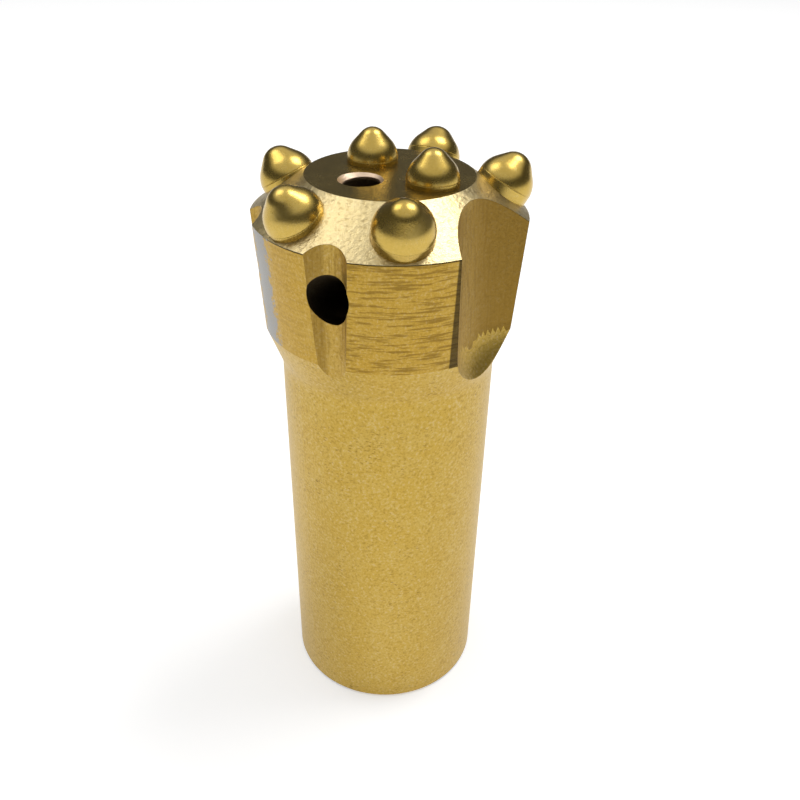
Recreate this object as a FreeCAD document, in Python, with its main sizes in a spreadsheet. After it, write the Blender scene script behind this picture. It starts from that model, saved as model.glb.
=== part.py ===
import FreeCAD, Part
import math
import os

import Sketcher
from FreeCAD import Vector

# Rope-thread button drill bit of the 48 mm class, in millimetres and degrees.
# The bit stands on the open end of its skirt. The origin is on the bit's axis at that end,
# +Z runs up to the drilling face, and +X points at the gauge button that stands between the
# two neighbouring flushing grooves. Directions round the axis are counted from +X towards +Y.

doc = FreeCAD.newDocument("ButtonDrillBit")
sheet = doc.addObject("Spreadsheet::Sheet", "Sizes")

sizes = (
    # skirt, neck and head of the steel body
    ("skirtRadius", 19.25),
    ("skirtLength", 73.1),
    ("skirtChamfer", 0.5),
    ("neckBlend", 6.0),
    ("neckHeight", 8.4),
    ("gaugeBottomRadius", 21.95),
    ("gaugeLength", 19.05),
    ("gaugeTopRadius", 23.2),
    ("shoulderHeight", 6.25),
    ("faceRadius", 14.07),
    # socket for the drill rod, and the waterway, which stops short of the face by its cover
    ("mouthRadius", 16.5),
    ("mouthDepth", 9.0),
    ("mouthChamfer", 0.8),
    ("socketRadius", 16.1),
    ("socketDepth", 63.0),
    ("socketCorner", 2.5),
    ("waterwayRadius", 5.75),
    ("waterwayCover", 22.8),
    ("drillPointAngle", 118.0),
    # flushing hole in the face
    ("faceHoleRadius", 3.0),
    ("faceHoleOffset", 6.0),
    ("faceHoleTilt", 15.0),
    ("faceHoleChamfer", 0.7),
    # narrow grooves, with depths from the gauge's top edge, and the side hole in each
    ("narrowGrooveRadius", 4.4),
    ("narrowGrooveDepth", 2.15),
    ("narrowGrooveAngle", 27.5),
    ("backGrooveAngle", 180.0),
    ("sideHoleRadius", 3.6),
    ("sideHoleDrop", 13.76),
    ("sideHoleFall", 29.5),
    # wide chip grooves, cut with a ball-nosed cutter
    ("wideGrooveRadius", 12.7),
    ("wideGrooveDepth", 6.22),
    ("wideGrooveLength", 23.1),
    ("wideGrooveTaper", 3.1),
    ("wideGrooveAngle", 104.6),
    # gauge buttons, set in from the gauge's top edge; ease is how much larger the ball of a
    # dome's shoulder is than the shank
    ("gaugeButtonRadius", 4.81),
    ("gaugeButtonShank", 9.0),
    ("gaugeButtonDome", 5.0),
    ("gaugeButtonEase", 0.05),
    ("gaugeButtonNose", 3.15),
    ("gaugeButtonTilt", 31.4),
    ("gaugeButtonInset", 4.25),
    # face buttons
    ("faceButtonRadius", 4.3),
    ("faceButtonShank", 8.0),
    ("faceButtonDome", 4.73),
    ("faceButtonEase", 0.02),
    ("faceButtonNose", 2.55),
    ("faceButtonStand", 0.87),
    ("buttonChamfer", 0.7),
)

# Each gauge button's direction, and how far its shank stands out of the head's cone.
gaugeButtons = (
    ("gaugeAngle1", 2.1, "gaugeStand1", 0.68),
    ("gaugeAngle2", 57.7, "gaugeStand2", 1.58),
    ("gaugeAngle3", 151.3, "gaugeStand3", 1.53),
    ("gaugeAngle4", 208.0, "gaugeStand4", 1.53),
    ("gaugeAngle5", 299.2, "gaugeStand5", 0.58),
)

# Each face button's direction and its distance from the axis.
faceButtons = (
    ("faceAngle1", 104.0, "faceRing1", 8.5),
    ("faceAngle2", 256.3, "faceRing2", 7.2),
)

# Levels up the bit, each a sum of lengths from the skirt's open end.
gaugeBottom = ("skirtLength", "neckHeight")
gaugeTop = gaugeBottom + ("gaugeLength",)
face = gaugeTop + ("shoulderHeight",)


def writeSheet():
    """Puts every size in the sheet, one a row, with its name as the alias of its cell."""
    cells = list(sizes)
    for row in gaugeButtons + faceButtons:
        cells += zip(row[0::2], row[1::2])
    for line, (alias, number) in enumerate(cells, start=1):
        sheet.set(f"A{line}", alias)
        sheet.set(f"B{line}", str(number))
        sheet.setAlias(f"B{line}", alias)
    doc.recompute()


def size(alias):
    return float(sheet.get(alias))


def total(*names):
    """A sum of sizes as a formula over the sheet; a name after a minus sign is taken off."""
    terms = [f"- Sizes.{name[1:]}" if name[0] == "-" else f"+ Sizes.{name}" for name in names]
    return f"({' '.join(terms).removeprefix('+ ')})"


def amount(*names):
    """What such a sum of sizes comes to now."""
    return sum(-size(name[1:]) if name[0] == "-" else size(name) for name in names)


# ---- sketches ----

def originPoint():
    return (-1, 1)


def uprightAxis():
    return -2


def start(edge):
    return (edge, 1)


def end(edge):
    return (edge, 2)


def centre(edge):
    return (edge, 3)


def newSketch(body, name, plane="XY_Plane", place=None):
    """A sketch on one of the body's own origin planes, offset by a placement expression."""
    sketch = body.newObject("Sketcher::SketchObject", name)
    support = next(f for f in body.Origin.OriginFeatures if f.Role == plane)
    sketch.AttachmentSupport = [(support, "")]
    sketch.MapMode = "FlatFace"
    if place:
        sketch.setExpression("AttachmentOffset", place)
    return sketch


def line(first, second):
    return Part.LineSegment(Vector(*first, 0), Vector(*second, 0))


def arc(middle, radius, low, high):
    """An arc that runs anticlockwise from the low to the high angle, in radians."""
    circle = Part.Circle(Vector(*middle, 0), Vector(0, 0, 1), radius)
    return Part.ArcOfCircle(circle, low, high)


def rule(sketch, kind, *places):
    """A constraint with no size, such as Coincident, Tangent or Vertical."""
    flat = []
    for place in places:
        flat += place if isinstance(place, tuple) else (place,)
    sketch.addConstraint(Sketcher.Constraint(kind, *flat))


def measure(sketch, kind, places, formula, first):
    """A dimension bound to a formula over the sheet; first is its value while drawing."""
    flat = []
    for place in places:
        flat += place if isinstance(place, tuple) else (place,)
    number = sketch.addConstraint(Sketcher.Constraint(kind, *flat, first))
    sketch.setExpression(f"Constraints[{number}]", formula)


def across(sketch, point, *names, origin=originPoint()):
    measure(sketch, "DistanceX", (origin, point), total(*names), amount(*names))


def up(sketch, point, *names, origin=originPoint()):
    measure(sketch, "DistanceY", (origin, point), total(*names), amount(*names))


def outline(sketch, corners):
    """A closed outline of straight edges; edge number k starts at corner number k."""
    count = len(corners)
    for k in range(count):
        sketch.addGeometry(line(corners[k], corners[(k + 1) % count]))
    for k in range(count):
        rule(sketch, "Coincident", end(k), start((k + 1) % count))


def circleAt(sketch, radius, *distance):
    """A circle at the sketch's origin, or at a sum of sizes along the sketch's own X axis."""
    middle = Vector(amount(*distance), 0, 0)
    sketch.addGeometry(Part.Circle(middle, Vector(0, 0, 1), size(radius)))
    measure(sketch, "Radius", (0,), total(radius), size(radius))
    if distance:
        rule(sketch, "Horizontal", originPoint(), centre(0))
        across(sketch, centre(0), *distance)
    else:
        rule(sketch, "Coincident", centre(0), originPoint())


# ---- features ----

def revolve(body, kind, name, sketch, axis="V_Axis"):
    feature = body.newObject(kind, name)
    feature.Profile = sketch
    feature.ReferenceAxis = (sketch, [axis])
    feature.Angle = 360
    return feature


def pocket(body, name, sketch, length, outward=False):
    """A straight cut from the sketch, against its normal or, if outward, along it."""
    feature = body.newObject("PartDesign::Pocket", name)
    feature.Profile = sketch
    feature.Reversed = outward
    feature.setExpression("Length", length)
    return feature


def placed(x, y, z, yaw, pitch):
    return f"placement(vector({x}; {y}; {z}); rotation({yaw}; {pitch}; 0))"


def gaugePlace(angle, stand):
    """Where a gauge button's lower end sits: on its tilted axis, sunk below the head's cone."""
    slope = f"Sizes.shoulderHeight / {total('gaugeTopRadius', '-faceRadius')}"
    cone = f"{total(*gaugeTop)} + Sizes.gaugeButtonInset * {slope}"
    sunk = total("gaugeButtonShank", f"-{stand}")
    ring = total("gaugeTopRadius", "-gaugeButtonInset")
    radius = f"({ring} - {sunk} * sin(Sizes.gaugeButtonTilt))"
    x = f"{radius} * cos(Sizes.{angle})"
    y = f"{radius} * sin(Sizes.{angle})"
    z = f"{cone} - {sunk} * cos(Sizes.gaugeButtonTilt)"
    return placed(x, y, z, f"Sizes.{angle}", "Sizes.gaugeButtonTilt")


def facePlace(angle, ring):
    """Where a face button's lower end sits: upright, sunk below the flat face."""
    x = f"Sizes.{ring} * cos(Sizes.{angle})"
    y = f"Sizes.{ring} * sin(Sizes.{angle})"
    z = total(*face, "faceButtonStand", "-faceButtonShank")
    return placed(x, y, z, f"Sizes.{angle}", "0")


# ---- steel body ----

def turnedBody(body):
    """Skirt, necked blend, tapered gauge, sloping shoulder and flat face, turned in one."""
    sketch = newSketch(body, "OutsideProfile", "XZ_Plane")
    skirt, foot = size("skirtRadius"), size("skirtLength")
    chamfer, blend = size("skirtChamfer"), size("neckBlend")
    low = (size("gaugeBottomRadius"), amount(*gaugeBottom))
    high = (size("gaugeTopRadius"), amount(*gaugeTop))
    rim = (size("faceRadius"), amount(*face))
    # the neck's straight flank is tangent to the blend arc at the top of the skirt
    toArc = Vector(skirt + blend - low[0], foot - low[1], 0)
    swing = math.asin(blend / toArc.Length) + math.atan2(-toArc.x, -toArc.y)
    touch = (skirt + blend * (1 - math.cos(swing)), foot + blend * math.sin(swing))

    sketch.addGeometry(line((0, 0), (skirt - chamfer, 0)))
    sketch.addGeometry(line((skirt - chamfer, 0), (skirt, chamfer)))
    sketch.addGeometry(line((skirt, chamfer), (skirt, foot)))
    sketch.addGeometry(arc((skirt + blend, foot), blend, math.pi - swing, math.pi))
    sketch.addGeometry(line(touch, low))
    sketch.addGeometry(line(low, high))
    sketch.addGeometry(line(high, rim))
    sketch.addGeometry(line(rim, (0, rim[1])))
    sketch.addGeometry(line((0, rim[1]), (0, 0)))
    rule(sketch, "Coincident", start(0), originPoint())
    rule(sketch, "Coincident", end(0), start(1))
    rule(sketch, "Coincident", end(1), start(2))
    rule(sketch, "Tangent", end(2), end(3))
    rule(sketch, "Tangent", start(3), start(4))
    for edge in (4, 5, 6, 7):
        rule(sketch, "Coincident", end(edge), start(edge + 1))
    rule(sketch, "Coincident", end(8), start(0))
    rule(sketch, "Horizontal", 0)
    rule(sketch, "Vertical", 2)
    rule(sketch, "Horizontal", 7)
    rule(sketch, "Vertical", 8)
    across(sketch, end(2), "skirtRadius")
    up(sketch, end(2), "skirtLength")
    across(sketch, end(1), "skirtChamfer", origin=start(1))
    up(sketch, end(1), "skirtChamfer", origin=start(1))
    measure(sketch, "Radius", (3,), total("neckBlend"), blend)
    across(sketch, start(5), "gaugeBottomRadius")
    up(sketch, start(5), *gaugeBottom)
    across(sketch, start(6), "gaugeTopRadius")
    up(sketch, start(6), *gaugeTop)
    across(sketch, start(7), "faceRadius")
    up(sketch, start(7), *face)
    return revolve(body, "PartDesign::Revolution", "OutsideTurning", sketch)


def boredBody(body):
    """Mouth, thread socket with its bottom for the rod's end, and the drilled waterway."""
    sketch = newSketch(body, "BoreProfile", "XZ_Plane")
    mouth, mouthTop, chamfer = size("mouthRadius"), size("mouthDepth"), size("mouthChamfer")
    socket, bottom, corner = size("socketRadius"), size("socketDepth"), size("socketCorner")
    water, waterTop = size("waterwayRadius"), amount(*face, "-waterwayCover")
    lead = mouth - socket
    half = math.radians(size("drillPointAngle") / 2)
    outline(sketch, (
        (0, 0), (mouth + chamfer, 0), (mouth, chamfer), (mouth, mouthTop),
        (socket, mouthTop + lead), (socket, bottom - corner), (socket - corner, bottom),
        (water, bottom), (water, waterTop), (0, waterTop + water / math.tan(half)),
    ))
    rule(sketch, "Coincident", start(0), originPoint())
    rule(sketch, "Horizontal", 0)
    across(sketch, start(2), "mouthRadius")
    across(sketch, start(1), "mouthChamfer", origin=start(2))
    up(sketch, start(2), "mouthChamfer")
    rule(sketch, "Vertical", 2)
    up(sketch, start(3), "mouthDepth")
    across(sketch, start(4), "socketRadius")
    up(sketch, start(4), "mouthRadius", "-socketRadius", origin=start(3))
    rule(sketch, "Vertical", 4)
    up(sketch, start(6), "socketDepth")
    up(sketch, start(6), "socketCorner", origin=start(5))
    across(sketch, start(5), "socketCorner", origin=start(6))
    rule(sketch, "Horizontal", 6)
    across(sketch, start(7), "waterwayRadius")
    rule(sketch, "Vertical", 7)
    up(sketch, start(8), *face, "-waterwayCover")
    rule(sketch, "PointOnObject", start(9), uprightAxis())
    measure(sketch, "DistanceY", (start(8), start(9)),
            "Sizes.waterwayRadius / tan(Sizes.drillPointAngle / 2)", water / math.tan(half))
    return revolve(body, "PartDesign::Groove", "SocketAndWaterway", sketch)


def flushingGroove(body, name, angle):
    """A half-round groove up the side of the head, with a hole that falls to the waterway."""
    turned = placed("0", "0", "0", f"Sizes.{angle}", "0")
    sketch = newSketch(body, f"{name}Round", place=turned)
    floor = ("gaugeTopRadius", "-narrowGrooveDepth")
    circleAt(sketch, "narrowGrooveRadius", *floor, "narrowGrooveRadius")
    groove = pocket(body, f"{name}Cut", sketch, total(*face), outward=True)
    # the drill starts clear of the head, a groove's radius outside the groove's floor
    reach = f"({total(*floor)} + Sizes.narrowGrooveRadius * cos(Sizes.sideHoleFall))"
    level = total(*face, "-sideHoleDrop")
    hole = newSketch(body, f"{name}HoleRound", place=placed(
        f"{reach} * cos(Sizes.{angle})", f"{reach} * sin(Sizes.{angle})",
        f"{level} + Sizes.narrowGrooveRadius * sin(Sizes.sideHoleFall)",
        f"Sizes.{angle}", "90 - Sizes.sideHoleFall"))
    circleAt(hole, "sideHoleRadius")
    drilled = pocket(body, f"{name}Hole", hole,
                     f"Sizes.narrowGrooveRadius + {total(*floor)} / cos(Sizes.sideHoleFall)")
    return [groove, drilled]


def wideGroove(body):
    """A chip groove: a ball-nosed cutter runs up the head, its axis leaning in by the taper."""
    turned = placed("0", "0", "0", "0", "Sizes.wideGrooveAngle")
    sketch = newSketch(body, "WideGrooveCutter", "XZ_Plane", turned)
    radius, lean = size("wideGrooveRadius"), math.radians(size("wideGrooveTaper"))
    outwards = ("gaugeTopRadius", "-wideGrooveDepth", "wideGrooveRadius")
    ball = Vector(amount(*outwards), amount(*face, "-wideGrooveLength"), 0)
    along = Vector(-math.sin(lean), math.cos(lean), 0)
    inward = Vector(-math.cos(lean), -math.sin(lean), 0)
    top = ball + along * ((amount(*face) + radius - ball.y) / along.y)
    pole, side = ball - along * radius, ball + inward * radius
    sketch.addGeometry(Part.LineSegment(pole, top))
    sketch.addGeometry(Part.LineSegment(top, top + inward * radius))
    sketch.addGeometry(Part.LineSegment(top + inward * radius, side))
    sketch.addGeometry(arc((ball.x, ball.y), radius, math.pi + lean, 1.5 * math.pi + lean))
    rule(sketch, "Coincident", end(0), start(1))
    rule(sketch, "Coincident", end(1), start(2))
    rule(sketch, "Tangent", end(2), start(3))
    rule(sketch, "Coincident", end(3), start(0))
    rule(sketch, "PointOnObject", centre(3), 0)
    rule(sketch, "Perpendicular", 0, 1)
    rule(sketch, "Parallel", 0, 2)
    measure(sketch, "Radius", (3,), total("wideGrooveRadius"), radius)
    across(sketch, centre(3), *outwards)
    up(sketch, centre(3), *face, "-wideGrooveLength")
    up(sketch, end(0), *face, "wideGrooveRadius")
    measure(sketch, "Angle", (uprightAxis(), 1, 0, 1), total("wideGrooveTaper"), lean)
    return revolve(body, "PartDesign::Groove", "WideGrooveCut", sketch, "Edge1")


def faceHole(body):
    """A hole that leans in from the face to the top of the waterway, with a chamfered mouth."""
    clear = "Sizes.faceHoleRadius"
    hole = newSketch(body, "FaceHoleRound", place=placed(
        f"Sizes.faceHoleOffset + {clear} * sin(Sizes.faceHoleTilt)", "0",
        f"{total(*face)} + {clear} * cos(Sizes.faceHoleTilt)", "0", "Sizes.faceHoleTilt"))
    circleAt(hole, "faceHoleRadius")
    pocket(body, "FaceHoleDrilling", hole,
           f"{clear} + Sizes.faceHoleOffset / sin(Sizes.faceHoleTilt)")
    mouth = body.newObject("PartDesign::SubtractiveCone", "FaceHoleMouth")
    mouth.AttachmentSupport = [
        (next(f for f in body.Origin.OriginFeatures if f.Role == "XY_Plane"), "")]
    mouth.MapMode = "FlatFace"
    mouth.setExpression("AttachmentOffset", placed(
        "Sizes.faceHoleOffset", "0", total(*face, "-faceHoleRadius"), "0", "0"))
    mouth.setExpression("Radius1", total("faceHoleChamfer"))
    mouth.setExpression("Radius2", total("faceHoleRadius", "faceHoleChamfer"))
    mouth.setExpression("Height", total("faceHoleRadius"))


def buttonSeat(body, name, radius, place, length):
    sketch = newSketch(body, f"{name}Round", place=place)
    circleAt(sketch, radius)
    pocket(body, f"{name}Bore", sketch, length, outward=True)


def buildBitBody():
    body = doc.addObject("PartDesign::Body", "bit_body")
    turnedBody(body)
    boredBody(body)
    pair = flushingGroove(body, "SideGroove", "narrowGrooveAngle")
    pair.append(wideGroove(body))
    twin = body.newObject("PartDesign::Mirrored", "OtherSide")
    twin.Originals = pair
    twin.MirrorPlane = (
        next(f for f in body.Origin.OriginFeatures if f.Role == "XZ_Plane"), [""])
    body.Tip = twin
    doc.recompute()
    flushingGroove(body, "BackGroove", "backGrooveAngle")
    faceHole(body)
    for number, (angle, _, stand, _) in enumerate(gaugeButtons, start=1):
        buttonSeat(body, f"GaugeSeat{number}", "gaugeButtonRadius", gaugePlace(angle, stand),
                   total("gaugeButtonShank", "gaugeButtonDome"))
    for number, (angle, _, ring, _) in enumerate(faceButtons, start=1):
        buttonSeat(body, f"FaceSeat{number}", "faceButtonRadius", facePlace(angle, ring),
                   total("faceButtonShank", "faceButtonDome"))
    return body


# ---- carbide buttons ----

def buildButton(name, kind, place):
    """A sintered button: chamfered foot, ground shank, then a dome of a ball-turned shoulder,
    a conical flank and a ball nose, each tangent to the next."""
    body = doc.addObject("PartDesign::Body", name)
    sketch = newSketch(body, f"{name}_profile", "XZ_Plane")
    radius, shank = size(f"{kind}Radius"), size(f"{kind}Shank")
    dome, nose, chamfer = size(f"{kind}Dome"), size(f"{kind}Nose"), size("buttonChamfer")
    shoulder = amount(f"{kind}Radius", f"{kind}Ease")
    low = shank - math.sqrt(shoulder ** 2 - radius ** 2)
    high = shank + dome - nose
    rise = math.acos(radius / shoulder)
    # the flank touches both balls where their radii lie square to it
    turn = math.asin((shoulder - nose) / (high - low))
    flank = [(ball * math.cos(turn), level + ball * math.sin(turn))
             for ball, level in ((shoulder, low), (nose, high))]
    sketch.addGeometry(line((0, 0), (radius - chamfer, 0)))
    sketch.addGeometry(line((radius - chamfer, 0), (radius, chamfer)))
    sketch.addGeometry(line((radius, chamfer), (radius, shank)))
    sketch.addGeometry(arc((0, low), shoulder, rise, turn))
    sketch.addGeometry(line(*flank))
    sketch.addGeometry(arc((0, high), nose, turn, math.pi / 2))
    sketch.addGeometry(line((0, shank + dome), (0, 0)))
    rule(sketch, "Coincident", start(0), originPoint())
    for edge in (0, 1, 2):
        rule(sketch, "Coincident", end(edge), start(edge + 1))
    for edge in (3, 4):
        rule(sketch, "Tangent", end(edge), start(edge + 1))
    rule(sketch, "Coincident", end(5), start(6))
    rule(sketch, "Coincident", end(6), start(0))
    rule(sketch, "Horizontal", 0)
    rule(sketch, "Vertical", 2)
    rule(sketch, "Vertical", 6)
    for edge in (3, 5):
        rule(sketch, "PointOnObject", centre(edge), uprightAxis())
    across(sketch, end(1), "buttonChamfer", origin=start(1))
    up(sketch, end(1), "buttonChamfer", origin=start(1))
    across(sketch, end(2), f"{kind}Radius")
    up(sketch, end(2), f"{kind}Shank")
    up(sketch, end(5), f"{kind}Dome", origin=end(2))
    measure(sketch, "Radius", (3,), total(f"{kind}Radius", f"{kind}Ease"), shoulder)
    measure(sketch, "Radius", (5,), total(f"{kind}Nose"), nose)
    revolve(body, "PartDesign::Revolution", f"{name}_turning", sketch)
    body.setExpression("Placement", place)
    return body


# ---- model ----

writeSheet()
bodies = [buildBitBody()]
for number, (angle, _, stand, _) in enumerate(gaugeButtons, start=1):
    bodies.append(buildButton(f"gauge_button_{number}", "gaugeButton", gaugePlace(angle, stand)))
for number, (angle, _, ring, _) in enumerate(faceButtons, start=1):
    bodies.append(buildButton(f"face_button_{number}", "faceButton", facePlace(angle, ring)))
doc.recompute()

for item in doc.Objects:
    if "Invalid" in item.State or "Error" in item.State:
        raise RuntimeError(f"{item.Label} didn't build: {item.State}")

os.makedirs("parts", exist_ok=True)
for body in bodies:
    if body.Shape.isNull() or not body.Shape.isValid() or len(body.Shape.Solids) != 1:
        raise RuntimeError(f"{body.Label} isn't one valid solid")
    body.Shape.exportStep(f"parts/{body.Label}.step")
    print(f"{body.Label}: {body.Shape.Volume:.1f} mm3, top at {body.Shape.BoundBox.ZMax:.2f} mm")
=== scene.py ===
import math

import bpy
import numpy as np
from mathutils import Matrix, Vector


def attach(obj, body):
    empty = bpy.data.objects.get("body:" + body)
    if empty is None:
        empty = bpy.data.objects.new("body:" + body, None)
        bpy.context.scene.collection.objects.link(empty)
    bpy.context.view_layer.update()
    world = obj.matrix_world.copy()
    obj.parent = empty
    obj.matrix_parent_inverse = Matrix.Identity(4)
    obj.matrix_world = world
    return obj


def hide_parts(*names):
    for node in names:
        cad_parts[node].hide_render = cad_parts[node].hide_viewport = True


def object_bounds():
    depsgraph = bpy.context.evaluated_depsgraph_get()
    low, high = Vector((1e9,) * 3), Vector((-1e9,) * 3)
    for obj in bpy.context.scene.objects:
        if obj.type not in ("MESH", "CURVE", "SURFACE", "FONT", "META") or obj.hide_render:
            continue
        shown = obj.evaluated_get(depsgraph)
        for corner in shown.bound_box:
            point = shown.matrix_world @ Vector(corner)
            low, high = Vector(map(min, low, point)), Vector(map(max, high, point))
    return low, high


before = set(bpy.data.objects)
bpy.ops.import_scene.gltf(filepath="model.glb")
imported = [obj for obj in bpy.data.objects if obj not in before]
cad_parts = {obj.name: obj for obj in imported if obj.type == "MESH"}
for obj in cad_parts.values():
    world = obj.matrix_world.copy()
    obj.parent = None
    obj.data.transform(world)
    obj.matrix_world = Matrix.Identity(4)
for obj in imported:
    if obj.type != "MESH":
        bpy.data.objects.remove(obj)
cadBox = [list(corner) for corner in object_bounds()]
print("frame loaded")

mm = 0.001

# the turned and milled forms of the steel body, in millimetres and degrees
bitForm = {
    "gaugeBottom": (21.95, 81.5),      # radius, level
    "gaugeTop": (23.2, 100.55),
    "face": (14.07, 106.8),
    "narrowGroove": (25.45, 4.4),      # its axis from the bit's axis, its radius
    "narrowAngles": (27.5, -27.5, 180.0),
    "wideAngles": (104.6, -104.6),
    "wideReach": 30.0,                 # degrees each side that a wide groove takes up
    "wideDrop": 12.0,                  # how far below the gauge a wide groove may reach
    "wideFloor": 15.5,                 # nearest that its floor comes to the bit's axis
    "boreRadius": 17.5,
    "footBand": 0.6,                   # the foot's rim and chamfer
    "slack": 0.06,                     # how far a facet's middle may lie off its surface
}


# ---- camera, floor and light ----

cameraPlace = {"distance": 0.1319, "height": 0.14765, "turn": 141.7,
               "aim": 140.669, "down": 32.733, "roll": 1.203, "lens": 36.79}


def setCamera():
    lens = bpy.data.cameras.new("camera")
    lens.lens = cameraPlace["lens"]
    lens.sensor_width = 36.0
    lens.clip_start = 0.01
    camera = bpy.data.objects.new("camera", lens)
    bpy.context.scene.collection.objects.link(camera)
    turn = math.radians(cameraPlace["turn"])
    away = cameraPlace["distance"]
    aim = (Matrix.Rotation(math.radians(cameraPlace["aim"]), 4, "Z")
           @ Matrix.Rotation(math.radians(90 - cameraPlace["down"]), 4, "X")
           @ Matrix.Rotation(math.radians(cameraPlace["roll"]), 4, "Z"))
    place = Vector((away * math.sin(turn), -away * math.cos(turn), cameraPlace["height"]))
    camera.matrix_world = Matrix.Translation(place) @ aim
    bpy.context.scene.camera = camera


# each soft box: where it hangs from the bit's middle, in degrees round, degrees up and metres
softBoxes = {
    "overhead": {"round": 168, "up": 64, "away": 1.30, "size": (0.55, 0.55), "power": 6.5},
    "leftSide": {"round": -62, "up": 60, "away": 1.30, "size": (0.60, 0.60), "power": 2.6},
}

# how bright the air round the bit is, by the height that light comes from (-1 down, 1 up)
studioAir = {"floorGlow": 0.42, "floorTone": 0.8, "floorHalf": 3.0,
             "levels": ((-0.02, 1.0), (0.02, 0.10), (0.50, 0.06), (0.68, 0.80))}


def setStudio():
    floor = bpy.data.meshes.new("studioFloor")
    half = studioAir["floorHalf"]
    floor.from_pydata([(-half, -half, 0), (half, -half, 0), (half, half, 0), (-half, half, 0)],
                      [], [(0, 1, 2, 3)])
    stand = bpy.data.objects.new("studioFloor", floor)
    bpy.context.scene.collection.objects.link(stand)
    white, _, shader = newShade("paleFloor")
    tone = studioAir["floorTone"]
    shader.inputs["Base Color"].default_value = (tone, tone, tone, 1)
    shader.inputs["Roughness"].default_value = 0.8
    shader.inputs["Emission Color"].default_value = (1, 1, 1, 1)
    shader.inputs["Emission Strength"].default_value = studioAir["floorGlow"]
    floor.materials.append(white)

    low, high = (Vector(corner) for corner in cadBox)
    middle = (low + high) / 2
    for name, box in softBoxes.items():
        lamp = bpy.data.lights.new(name, "AREA")
        lamp.shape = "RECTANGLE"
        lamp.size, lamp.size_y = box["size"]
        lamp.energy = box["power"]
        turn, up = math.radians(box["round"]), math.radians(box["up"])
        away = Vector((math.cos(turn) * math.cos(up), math.sin(turn) * math.cos(up),
                       math.sin(up)))
        hung = bpy.data.objects.new(name, lamp)
        hung.location = middle + away * box["away"]
        hung.rotation_euler = away.to_track_quat("Z", "Y").to_euler()
        bpy.context.scene.collection.objects.link(hung)

    world = bpy.data.worlds.new("studioAir")
    world.use_nodes = True
    tree = world.node_tree
    towards = put(tree, "TexCoord", {}).outputs["Generated"]
    height = put(tree, "SeparateXYZ", {0: towards}).outputs[2]
    share = calc(tree, "MULTIPLY", calc(tree, "ADD", height, 1.0), 0.5)
    shades = put(tree, "ValToRGB", {"Fac": share})
    stops = shades.color_ramp.elements
    while len(stops) < len(studioAir["levels"]):
        stops.new(1.0)
    for stop, (level, bright) in zip(stops, studioAir["levels"]):
        stop.position = (level + 1) / 2
        stop.color = (bright, bright, bright, 1)
    tree.links.new(shades.outputs[0], tree.nodes["Background"].inputs["Color"])
    bpy.context.scene.world = world
    bpy.context.scene.view_settings.view_transform = "Standard"


# ---- short ways to build a material's nodes ----

def newShade(name):
    material = bpy.data.materials.new(name)
    material.use_nodes = True
    tree = material.node_tree
    return material, tree, tree.nodes["Principled BSDF"]


def put(tree, kind, feeds, **settings):
    node = tree.nodes.new("ShaderNode" + kind)
    for key, value in settings.items():
        setattr(node, key, value)
    for socket, value in feeds.items():
        if isinstance(value, bpy.types.NodeSocket):
            tree.links.new(value, node.inputs[socket])
        else:
            node.inputs[socket].default_value = value
    return node


def calc(tree, operation, first, second=0.0, clamp=False):
    return put(tree, "Math", {0: first, 1: second},
               operation=operation, use_clamp=clamp).outputs[0]


def ease(tree, value, low, high):
    # 0 at low, 1 at high, with soft ends
    node = put(tree, "MapRange", {"Value": value, "From Min": low, "From Max": high},
               interpolation_type="SMOOTHSTEP")
    return node.outputs["Result"]


def near(tree, value, middle, half, soft):
    # 1 where value is within half of middle
    apart = calc(tree, "ABSOLUTE", calc(tree, "SUBTRACT", value, middle))
    return ease(tree, apart, half + soft, half - soft)


def noise(tree, where, stretch, detail=2.0, rough=0.5):
    at = put(tree, "VectorMath", {0: where, 1: stretch}, operation="MULTIPLY").outputs[0]
    return put(tree, "TexNoise", {"Vector": at, "Scale": 1.0, "Detail": detail,
                                  "Roughness": rough}).outputs["Fac"]


def both(tree, first, second):
    return calc(tree, "MULTIPLY", first, second)


def within(tree, value, low, high, soft):
    # 1 between low and high
    return both(tree, ease(tree, value, low - soft, low + soft),
                ease(tree, value, high + soft, high - soft))


def tint(tree, share, first, second):
    node = put(tree, "Mix", {}, data_type="RGBA", blend_type="MIX")
    sockets = {"Factor": node.inputs[0], "A": node.inputs[6], "B": node.inputs[7]}
    for key, value in (("Factor", share), ("A", first), ("B", second)):
        if isinstance(value, bpy.types.NodeSocket):
            tree.links.new(value, sockets[key])
        else:
            sockets[key].default_value = value if key == "Factor" else (*value, 1)
    return node.outputs[2]


def placesOn(tree):
    # a point's place on the bit: plain, and unrolled as (mm round, mm up, mm out)
    plain = put(tree, "TexCoord", {}).outputs["Object"]
    inMm = put(tree, "VectorMath", {0: plain, "Scale": 1000.0}, operation="SCALE").outputs[0]
    parts = put(tree, "SeparateXYZ", {0: inMm})
    x, y, z = parts.outputs
    out = calc(tree, "SQRT", calc(tree, "ADD", calc(tree, "MULTIPLY", x, x),
                                  calc(tree, "MULTIPLY", y, y)))
    turn = calc(tree, "MULTIPLY", calc(tree, "ARCTAN2", y, x), 180 / math.pi)
    along = calc(tree, "MULTIPLY", turn, 0.4)
    unrolled = put(tree, "CombineXYZ", {0: along, 1: z, 2: out}).outputs[0]
    return {"plain": inMm, "unrolled": unrolled, "turn": turn, "level": z, "out": out}


# ---- gold paint over steel ----

goldPaint = {
    "pale": (0.60, 0.44, 0.135),
    "brown": (0.20, 0.115, 0.020),
    "highlightTone": (0.66, 0.56, 0.34),
    "darkEdge": (0.035, 0.024, 0.010),
    "steel": (0.30, 0.29, 0.27),
    "cloud": (0.16, 0.16, 0.16),       # broad patches, in turns of the pattern for each mm
    "roughSpread": 0.12,
    "edgeRound": 0.15,                 # mm
}


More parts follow.
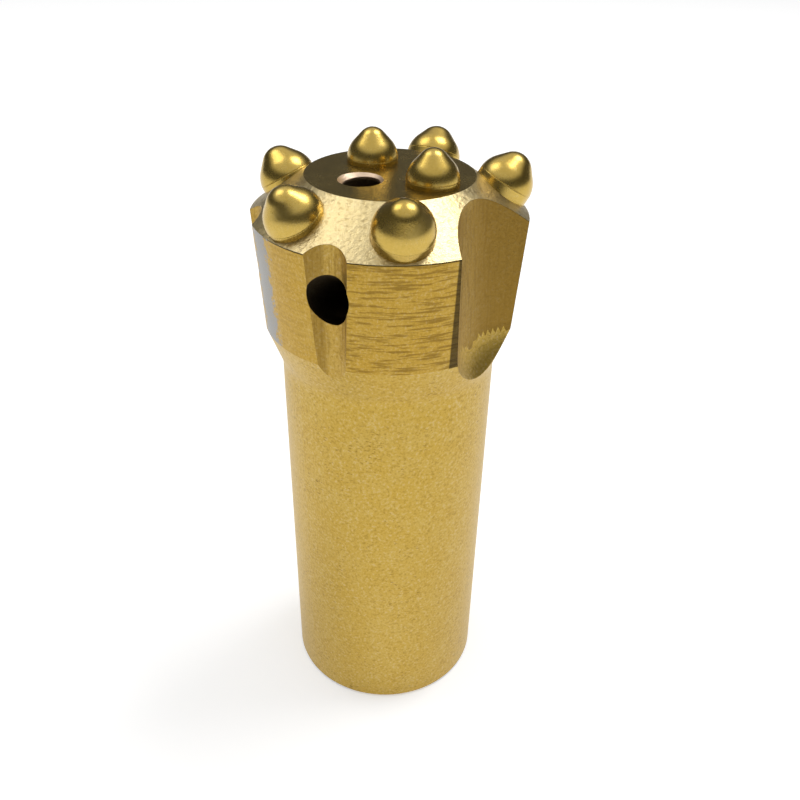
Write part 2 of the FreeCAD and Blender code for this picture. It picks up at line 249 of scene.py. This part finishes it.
def paintedMetal(name, look, marks):
    # marks(tree, places, tone, height, rough) adds what one surface has of its own
    material, tree, shader = newShade(name)
    places = placesOn(tree)
    fine = 1 / look["grainSize"]
    grain = noise(tree, places["plain"], (fine, fine, fine), 3, 0.65)
    cloud = noise(tree, places["plain"], goldPaint["cloud"], 5, 0.75)
    pale = both(tree, ease(tree, cloud, 0.38, 0.72), look["pale"])
    tone = tint(tree, pale, look["tone"], goldPaint["pale"])
    pits = both(tree, ease(tree, grain, 0.50, 0.30), look["pits"])
    tone = tint(tree, pits, tone, goldPaint["brown"])
    # painted glints: the grain's high specks mixed toward a pale highlight tone in the colour
    paintedGlints = both(tree, ease(tree, grain, 0.52, 0.68), look["paintedGlints"])
    tone = tint(tree, paintedGlints, tone, goldPaint["highlightTone"])
    height = both(tree, grain, look["grainDepth"])
    spread = goldPaint["roughSpread"]
    rough = calc(tree, "ADD", both(tree, cloud, spread), look["roughness"] - spread / 2)
    tone, height, rough = marks(tree, places, tone, height, rough)
    rounded = put(tree, "Bevel", {"Radius": goldPaint["edgeRound"] * mm}, samples=4)
    bump = put(tree, "Bump", {"Height": height, "Distance": mm, "Strength": 1.0,
                              "Normal": rounded.outputs[0]})
    tree.links.new(tone, shader.inputs["Base Color"])
    tree.links.new(rough, shader.inputs["Roughness"])
    tree.links.new(bump.outputs[0], shader.inputs["Normal"])
    shader.inputs["Metallic"].default_value = 1.0
    return material


skirtLook = {
    "roughness": 0.40, "grainSize": 0.50, "grainDepth": 0.070, "pits": 0.42,
    "paintedGlints": 0.35, "pale": 0.35, "tone": (0.52, 0.345, 0.064),
    "dashes": (1.3, 1.3, 3.8),
    "drifts": (0.14, 0.14, 0.10),      # where the dashes gather
    "dashShare": 0.7,
    "clearFootTurn": 58.0,                  # the foot's edge is not darkened round here
    "clearFootReach": (14, 40),             # degrees each side: not darkened, fully darkened
    "darkFootUp": (0.42, 0.22),            # mm: how high the darkened edge goes, how softly it ends
}


def skirtMarks(tree, places, tone, height, rough):
    # short dark dashes gathered in drifts, and a dark edge round the foot: painted shadow on the
    # chamfer, with worn chips
    dashes = ease(tree, noise(tree, places["plain"], skirtLook["dashes"], 2, 0.5), 0.60, 0.68)
    drifts = ease(tree, noise(tree, places["plain"], skirtLook["drifts"], 3, 0.7), 0.47, 0.62)
    dark = both(tree, both(tree, dashes, drifts), skirtLook["dashShare"])
    tone = tint(tree, dark, tone, goldPaint["brown"])
    # painted shadow and wear: the foot's chamfer darkened all round but for one side
    away = calc(tree, "ABSOLUTE",
                calc(tree, "SUBTRACT", places["turn"], skirtLook["clearFootTurn"]))
    up, soft = skirtLook["darkFootUp"]
    footShadeAndWear = both(tree, near(tree, places["level"], 0.0, up, soft),
                ease(tree, away, *skirtLook["clearFootReach"]))
    tone = tint(tree, footShadeAndWear, tone, goldPaint["darkEdge"])
    return tone, height, rough


gaugeLook = {
    "roughness": 0.38, "grainSize": 0.42, "grainDepth": 0.050, "pits": 0.35,
    "paintedGlints": 0.22, "pale": 0.2, "tone": (0.47, 0.295, 0.048),
    "lines": (0.20, 0.20, 2.4), "lineDepth": 0.09, "lineShare": 0.7,
    "coveredPanel": (-28, 27, 3),      # from, to and softness, in degrees round
    "cover": 0.75,
    "topEdge": (100.30, 100.45),       # mm up: where the painted shade under the top edge starts and is full
    "sideEdge": (77.6, 78.3),          # degrees round, beside the wide groove
    "sideEnds": (100, 90),
    "sideShare": 0.85,
    "bareStrip": (-17, -4, 0.8),
    "ragged": (0.9, 0.9, 0.9), "raggedTurn": 24.0,
}


def gaugeMarks(tree, places, tone, height, rough):
    # turning lines; one panel carries more paint, so that they hardly show on it
    level, turn = places["level"], places["turn"]
    lines = noise(tree, places["plain"], gaugeLook["lines"], 3, 0.6)
    covered = within(tree, turn, *gaugeLook["coveredPanel"])
    bare = calc(tree, "SUBTRACT", 1.0, both(tree, covered, gaugeLook["cover"]))
    lineHeight = both(tree, lines, gaugeLook["lineDepth"])
    height = calc(tree, "ADD", height, both(tree, lineHeight, bare))
    deep = both(tree, both(tree, ease(tree, lines, 0.52, 0.38), bare), gaugeLook["lineShare"])
    tone = tint(tree, deep, tone, goldPaint["brown"])
    # painted shade: a dark line just under the top edge; also darker along one wide groove's
    # edge
    tone = tint(tree, ease(tree, level, *gaugeLook["topEdge"]), tone, goldPaint["darkEdge"])
    side = both(tree, ease(tree, turn, *gaugeLook["sideEdge"]),
                ease(tree, turn, *gaugeLook["sideEnds"]))
    tone = tint(tree, both(tree, side, gaugeLook["sideShare"]), tone, goldPaint["darkEdge"])
    # a strip beside the flushing groove has lost its paint
    ragged = noise(tree, places["plain"], gaugeLook["ragged"], 4, 0.75)
    uneven = both(tree, calc(tree, "SUBTRACT", ragged, 0.5), gaugeLook["raggedTurn"])
    edge = calc(tree, "ADD", turn, uneven)
    tone = tint(tree, within(tree, edge, *gaugeLook["bareStrip"]), tone, goldPaint["steel"])
    return tone, height, rough


shoulderLook = {
    # tone, pale and paintedHighlightShare make the whole shoulder paler: painted highlight
    "roughness": 0.36, "grainSize": 0.60, "grainDepth": 0.080, "pits": 0.30,
    "paintedGlints": 0.30, "pale": 0.8, "tone": (0.50, 0.37, 0.13),
    "ripple": (0.9, 0.9, 2.4), "rippleDepth": 0.08, "rippleShare": 0.35,
    "paintedHighlightShare": 0.55,
}


def shoulderMarks(tree, places, tone, height, rough):
    # a rippled surface, its colour painted pale all over as a painted highlight for the brightly
    # lit shoulder
    ripple = noise(tree, places["plain"], shoulderLook["ripple"], 2, 0.6)
    height = calc(tree, "ADD", height, both(tree, ripple, shoulderLook["rippleDepth"]))
    # painted highlight: the whole shoulder mixed toward the pale highlight tone
    tone = tint(tree, shoulderLook["paintedHighlightShare"], tone, goldPaint["highlightTone"])
    dips = both(tree, ease(tree, ripple, 0.48, 0.32), shoulderLook["rippleShare"])
    tone = tint(tree, dips, tone, goldPaint["brown"])
    return tone, height, rough


faceLook = {
    "roughness": 0.26, "grainSize": 0.40, "grainDepth": 0.030, "pits": 0.50,
    "paintedGlints": 0.30, "pale": 0.3, "tone": (0.50, 0.36, 0.10),
    "lines": (0.12, 2.0, 2.0), "lineDepth": 0.03,
}


def faceMarks(tree, places, tone, height, rough):
    # faint rings from facing in the lathe
    lines = noise(tree, places["unrolled"], faceLook["lines"], 2, 0.6)
    height = calc(tree, "ADD", height, both(tree, lines, faceLook["lineDepth"]))
    return tone, height, rough


grooveLook = {
    "roughness": 0.40, "grainSize": 0.50, "grainDepth": 0.080, "pits": 0.45,
    "paintedGlints": 0.25, "pale": 0.3, "tone": (0.47, 0.30, 0.060),
    "strokes": (2.2, 2.2, 0.10), "strokeDepth": 0.06, "strokeShare": 0.35,
    "shadedTurn": (84, 122), "shadedShare": 0.8,       # degrees round, on each side
    "innerSideTurn": (25.6, 23.2), "innerSideShare": 0.5,
}


def milledMarks(tree, places, tone, height, rough):
    # strokes down the groove
    strokes = noise(tree, places["plain"], grooveLook["strokes"], 3, 0.6)
    height = calc(tree, "ADD", height, both(tree, strokes, grooveLook["strokeDepth"]))
    dips = both(tree, ease(tree, strokes, 0.50, 0.36), grooveLook["strokeShare"])
    tone = tint(tree, dips, tone, goldPaint["brown"])
    # painted shade: darker and browner toward the back of the bit; also darker on the front
    # grooves' inner sides
    away = calc(tree, "ABSOLUTE", places["turn"])
    # painted shade toward the back of the bit
    brown = both(tree, ease(tree, away, *grooveLook["shadedTurn"]), grooveLook["shadedShare"])
    tone = tint(tree, brown, tone, goldPaint["brown"])
    innerSide = both(tree, ease(tree, away, *grooveLook["innerSideTurn"]), grooveLook["innerSideShare"])
    tone = tint(tree, innerSide, tone, goldPaint["brown"])
    return tone, height, rough


boreLook = {
    "roughness": 0.45, "grainSize": 0.50, "grainDepth": 0.050, "pits": 0.30,
    "paintedGlints": 0.10, "pale": 0.0, "tone": (0.16, 0.12, 0.07),
    "rimUp": (105.6, 106.2), "rimOut": (12.5, 11.5), "rimTone": (0.72, 0.55, 0.40),
}


def boreMarks(tree, places, tone, height, rough):
    # the face hole's rim kept its pale paint
    rim = both(tree, ease(tree, places["level"], *boreLook["rimUp"]),
               ease(tree, places["out"], *boreLook["rimOut"]))
    tone = tint(tree, rim, tone, boreLook["rimTone"])
    return tone, height, rough


buttonLook = {
    "roughness": 0.27, "grainSize": 0.40, "grainDepth": 0.012, "pits": 0.12,
    "paintedGlints": 0.10, "pale": 0.6, "tone": (0.55, 0.38, 0.085),
}


def noMarks(tree, places, tone, height, rough):
    return tone, height, rough


# ---- which surface of the body each facet lies on ----

def surfaceOf(middle, normal):
    x, y, z = (value / mm for value in middle)
    out = math.hypot(x, y)
    outward = (normal.x * x + normal.y * y) / max(out, 1e-6)
    turn = math.degrees(math.atan2(y, x))
    gaugeOut, gaugeUp = bitForm["gaugeBottom"]
    topOut, topUp = bitForm["gaugeTop"]
    faceOut, faceUp = bitForm["face"]
    grooveAt, grooveRadius = bitForm["narrowGroove"]
    slack = bitForm["slack"]
    if z > faceUp - 0.05 and normal.z > 0.99:
        return "face"
    offShoulder = abs(z - topUp - (topOut - out) * (faceUp - topUp) / (topOut - faceOut))
    if offShoulder < slack and normal.z > 0.7 and outward > 0.4:
        return "shoulder"
    lean = (topOut - gaugeOut) / (topUp - gaugeUp)
    offGauge = abs(out - gaugeOut - (z - gaugeUp) * lean)
    if offGauge < slack and outward > 0.9 and z > gaugeUp - 0.1:
        return "gauge"
    # below the gauge a groove's facets count as skirt too
    if z < gaugeUp + 0.05 and outward > 0.3 and out > bitForm["boreRadius"]:
        return "skirt"
    if z < bitForm["footBand"]:
        return "skirt"
    for angle in bitForm["narrowAngles"]:
        a = math.radians(angle)
        apart = math.hypot(x - grooveAt * math.cos(a), y - grooveAt * math.sin(a))
        if abs(apart - grooveRadius) < 0.1 and abs(normal.z) < 0.1:
            return "narrowGroove"
    inReach = z > gaugeUp - bitForm["wideDrop"] and out > bitForm["wideFloor"] and outward > -0.2
    for angle in bitForm["wideAngles"]:
        if abs(turn - angle) < bitForm["wideReach"] and inReach:
            return "wideGroove"
    return "bore"


def dressBody():
    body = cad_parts["bit_body"]
    finishes = {
        "face": paintedMetal("paintedFace", faceLook, faceMarks),
        "shoulder": paintedMetal("paintedShoulder", shoulderLook, shoulderMarks),
        "gauge": paintedMetal("paintedGauge", gaugeLook, gaugeMarks),
        "skirt": paintedMetal("paintedSkirt", skirtLook, skirtMarks),
        "narrowGroove": paintedMetal("paintedNarrowGroove", grooveLook, milledMarks),
        "wideGroove": paintedMetal("paintedWideGroove", grooveLook, milledMarks),
        "bore": paintedMetal("bareBore", boreLook, boreMarks),
    }
    order = list(finishes)
    body.data.materials.clear()
    for finish in finishes.values():
        body.data.materials.append(finish)
    counts = dict.fromkeys(order, 0)
    for facet in body.data.polygons:
        kind = surfaceOf(facet.center, facet.normal)
        counts[kind] += 1
        facet.material_index = order.index(kind)
    print("body dressed:", counts)


# ---- buttons ----

# a button's own form: shank, a ball-turned shoulder, a conical flank and a ball nose
gaugeButton = {"radius": 4.81, "shank": 9.0, "dome": 5.0, "ease": 0.05, "nose": 3.15,
               "chamfer": 0.7, "tilt": 31.4, "ring": 18.95}
faceButton = {"radius": 4.3, "shank": 8.0, "dome": 4.73, "ease": 0.02, "nose": 2.55,
              "chamfer": 0.7, "stand": 0.87}
gaugeTurns = ((2.1, 0.68), (57.7, 1.58), (151.3, 1.53), (208.0, 1.53), (299.2, 0.58))
faceTurns = ((104.0, 8.5), (256.3, 7.2))
seam = {"depth": 0.07, "width": 0.16}     # the fine line where a dome meets its ground shank
latheSteps = 96


def buttonProfile(form):
    # points from the foot's middle up to the tip: distance from the axis, height
    radius, shank, edge = form["radius"], form["shank"], form["chamfer"]
    ball, nose = radius + form["ease"], form["nose"]
    low = shank - math.sqrt(ball ** 2 - radius ** 2)
    high = shank + form["dome"] - nose
    turn = math.asin((ball - nose) / (high - low))
    points = [(0, 0), (radius - edge, 0), (radius, edge)]
    half = seam["width"] / 2
    ground = shank - 2 * half
    points += [(radius, edge + (ground - edge) * k / 6) for k in range(1, 7)]
    points.append((radius - seam["depth"], shank - half))
    for k in range(13):
        angle = math.acos(radius / ball) + (turn - math.acos(radius / ball)) * k / 12
        points.append((ball * math.cos(angle), low + ball * math.sin(angle)))
    # the straight flank
    foot, top = points[-1], (nose * math.cos(turn), high + nose * math.sin(turn))
    for k in range(1, 6):
        points.append(tuple(a + (b - a) * k / 6 for a, b in zip(foot, top)))
    for k in range(15):
        angle = turn + (math.pi / 2 - turn) * k / 14
        points.append((max(nose * math.cos(angle), 0.0), high + nose * math.sin(angle)))
    points[-1] = (0, high + nose)
    return points


def latheButton(name, form, place, finish):
    profile = buttonProfile(form)
    points, faces = [], []
    for out, level in profile:
        if out < 1e-6:
            points.append((0, 0, level))
        else:
            points += [(out * math.cos(2 * math.pi * k / latheSteps),
                        out * math.sin(2 * math.pi * k / latheSteps), level)
                       for k in range(latheSteps)]
    tip = len(points) - 1
    for k in range(latheSteps):
        n = (k + 1) % latheSteps
        faces.append((0, 1 + n, 1 + k))
        for row in range(len(profile) - 3):
            low = 1 + row * latheSteps
            faces.append((low + k, low + n, low + latheSteps + n, low + latheSteps + k))
        last = 1 + (len(profile) - 3) * latheSteps
        faces.append((last + k, last + n, tip))
    mesh = bpy.data.meshes.new(name)
    mesh.from_pydata([tuple(place @ Vector(p) * mm) for p in points], [], faces)
    mesh.shade_smooth()
    mesh.set_sharp_from_angle(angle=math.radians(28))
    piece = bpy.data.objects.new(name + "_look", mesh)
    bpy.context.scene.collection.objects.link(piece)
    mesh.materials.append(finish)
    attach(piece, "root")
    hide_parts(name)


def dressButtons():
    finish = paintedMetal("paintedButton", buttonLook, noMarks)
    topOut, topUp = bitForm["gaugeTop"]
    faceOut, faceUp = bitForm["face"]
    slope = (faceUp - topUp) / (topOut - faceOut)
    for number, (turn, stand) in enumerate(gaugeTurns, start=1):
        sunk = gaugeButton["shank"] - stand
        tilt = math.radians(gaugeButton["tilt"])
        cone = topUp + (topOut - gaugeButton["ring"]) * slope
        foot = Vector((gaugeButton["ring"] - sunk * math.sin(tilt), 0,
                       cone - sunk * math.cos(tilt)))
        place = (Matrix.Rotation(math.radians(turn), 4, "Z") @ Matrix.Translation(foot)
                 @ Matrix.Rotation(tilt, 4, "Y"))
        latheButton(f"gauge_button_{number}", gaugeButton, place, finish)
    for number, (turn, ring) in enumerate(faceTurns, start=1):
        foot = Vector((ring, 0, faceUp + faceButton["stand"] - faceButton["shank"]))
        place = Matrix.Rotation(math.radians(turn), 4, "Z") @ Matrix.Translation(foot)
        latheButton(f"face_button_{number}", faceButton, place, finish)
    print("buttons turned")


# ---- rope thread in the socket ----

ropeThread = {"pitch": 12.7, "root": 16.08, "backing": 16.2, "depth": 1.5,
              "low": 9.6, "high": 60.3, "runOut": 5.0, "steps": (120, 260)}


def buildThread():
    around, along = ropeThread["steps"]
    low, high = ropeThread["low"], ropeThread["high"]
    turns = np.linspace(0, 2 * math.pi, around, endpoint=False)
    levels = np.linspace(low, high, along)
    turn, level = np.meshgrid(turns, levels)
    # left-hand: the crest falls as it turns from +X towards +Y
    wave = 0.5 + 0.5 * np.cos(2 * math.pi * level / ropeThread["pitch"] + turn)
    edge = np.minimum(level - low, high - level) / ropeThread["runOut"]
    edge = np.clip(edge, 0, 1)
    edge = edge * edge * (3 - 2 * edge)
    out = ropeThread["root"] - ropeThread["depth"] * wave * edge
    inner = np.stack([out * np.cos(turn), out * np.sin(turn), level], -1).reshape(-1, 3)
    backing = ropeThread["backing"]
    outer = [(backing * math.cos(a), backing * math.sin(a), z)
             for z in (low, high) for a in turns]
    points = np.vstack([inner, outer]) * mm
    faces = []
    for row in range(along - 1):
        for k in range(around):
            a, b = row * around + k, row * around + (k + 1) % around
            faces.append((b, a, a + around, b + around))
    base = along * around
    last = (along - 1) * around
    for k in range(around):
        n = (k + 1) % around
        faces.append((base + k, base + n, base + around + n, base + around + k))
        faces.append((k, n, base + n, base + k))
        faces.append((last + n, last + k, base + around + k, base + around + n))
    mesh = bpy.data.meshes.new("rope_thread")
    mesh.from_pydata([tuple(p) for p in points], [], faces)
    mesh.shade_smooth()
    thread = bpy.data.objects.new("rope_thread", mesh)
    bpy.context.scene.collection.objects.link(thread)
    mesh.materials.append(paintedMetal("bareThread", boreLook, boreMarks))
    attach(thread, "root")
    print("thread built")


setCamera()
setStudio()
print("camera, floor and light set")
dressBody()
dressButtons()
buildThread()
